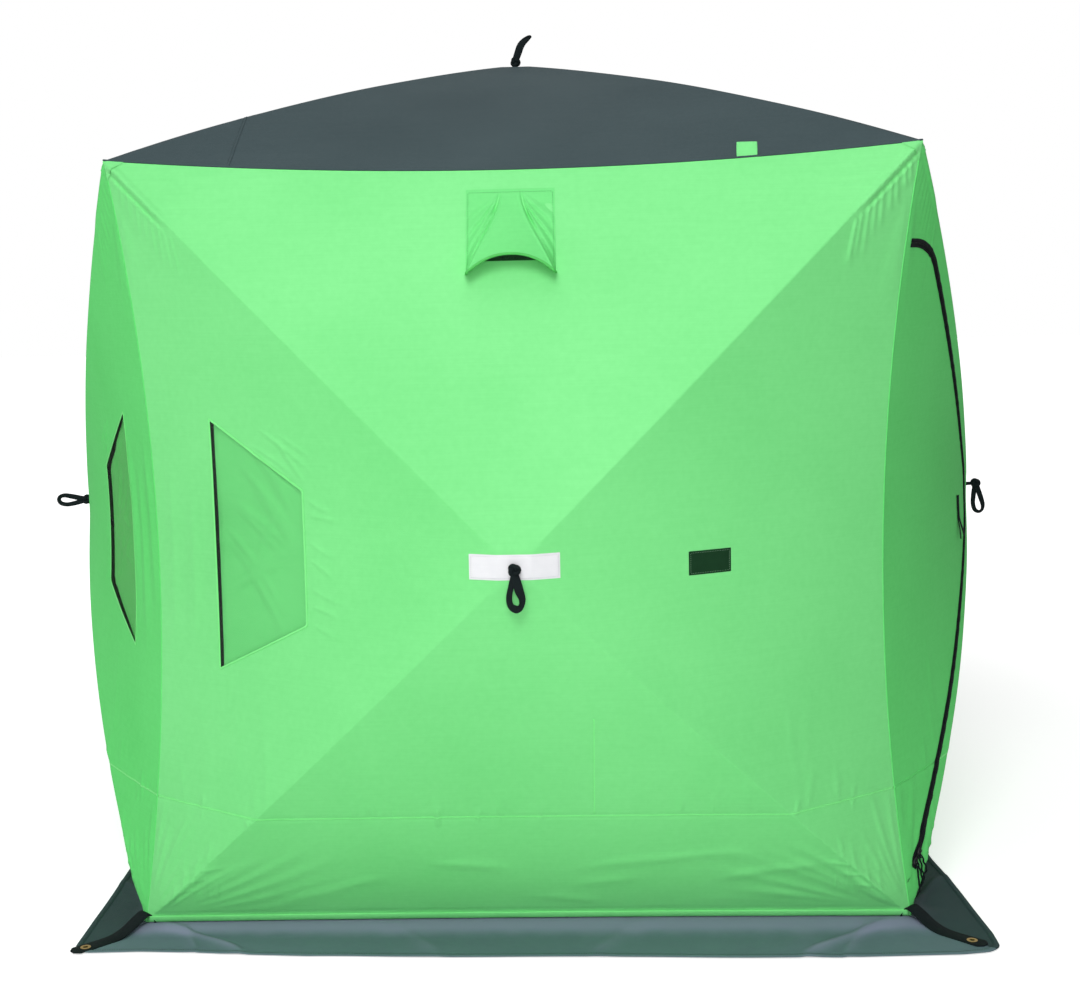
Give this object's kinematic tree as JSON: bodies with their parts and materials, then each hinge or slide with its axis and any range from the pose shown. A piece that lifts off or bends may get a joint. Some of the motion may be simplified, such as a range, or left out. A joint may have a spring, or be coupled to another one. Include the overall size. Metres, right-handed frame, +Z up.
{
  "type": "hub ice fishing shelter",
  "caption": "Free-standing pop-up ice fishing shelter with bulging fabric walls, a domed roof, a swinging door, windows, vents and a snow skirt.",
  "frame": {"origin": "middle of the footprint, on the ground", "axes": "+Z up; the front wall with the hooded vent and the patches faces -Y; the door is in the +X wall"},
  "size_m": [2.6089, 2.508, 2.165],
  "materials": {
    "wall_cloth": "matt coated polyester",
    "roof_cloth": "matt coated polyester",
    "skirt_cloth": "matt coated polyester",
    "webbing": "woven webbing",
    "zip": "woven tape with a nylon coil",
    "reflective": "retroreflective tape",
    "hook_tape": "hook and loop",
    "window_film": "clear film",
    "vent_mesh": "fine mesh",
    "fibreglass": "smooth rod",
    "moulding": "moulded",
    "brass": "rolled"
  },
  "bodies": {
    "shelter": {"back_lower_band": "wall_cloth", "back_reflective_patch": "reflective", "back_skirt": "skirt_cloth", "back_vent_hood": "wall_cloth", "back_wall": "wall_cloth", "corner_caps": "moulding", "corner_grommets": "brass", "corner_straps": "webbing", "door_zip_pulls": "zip", "door_zip_track": "zip", "feet": "moulding", "front_hook_patch": "hook_tape", "front_lower_band": "wall_cloth", "front_reflective_patch": "reflective", "front_skirt": "skirt_cloth", "front_vent_hood": "wall_cloth", "front_wall": "wall_cloth", "left_lower_band": "wall_cloth", "left_skirt": "skirt_cloth", "left_wall": "wall_cloth", "right_lower_band": "wall_cloth", "right_skirt": "skirt_cloth", "right_wall": "wall_cloth", "roof_hub": "moulding", "roof_panel": "roof_cloth", "roof_pull_strap": "webbing", "roof_rods": "fibreglass", "roof_side_strip": "roof_cloth", "roof_tab": "wall_cloth", "vent_meshes": "vent_mesh", "wall_hubs": "moulding", "wall_pull_straps": "webbing", "wall_rods": "fibreglass", "window_blinds": "wall_cloth", "window_films": "window_film"},
    "door": {"door_panel": "wall_cloth", "door_zip_tape": "zip", "door_tie_tab": "webbing"}
  },
  "joints": [
    {"name": "door_swing", "type": "hinge", "parent": "shelter", "child": "door", "pos_m": [0.943, -0.8145, 0.85], "axis": [0, 0, -1], "range_deg": [0, 100]}
  ]
}
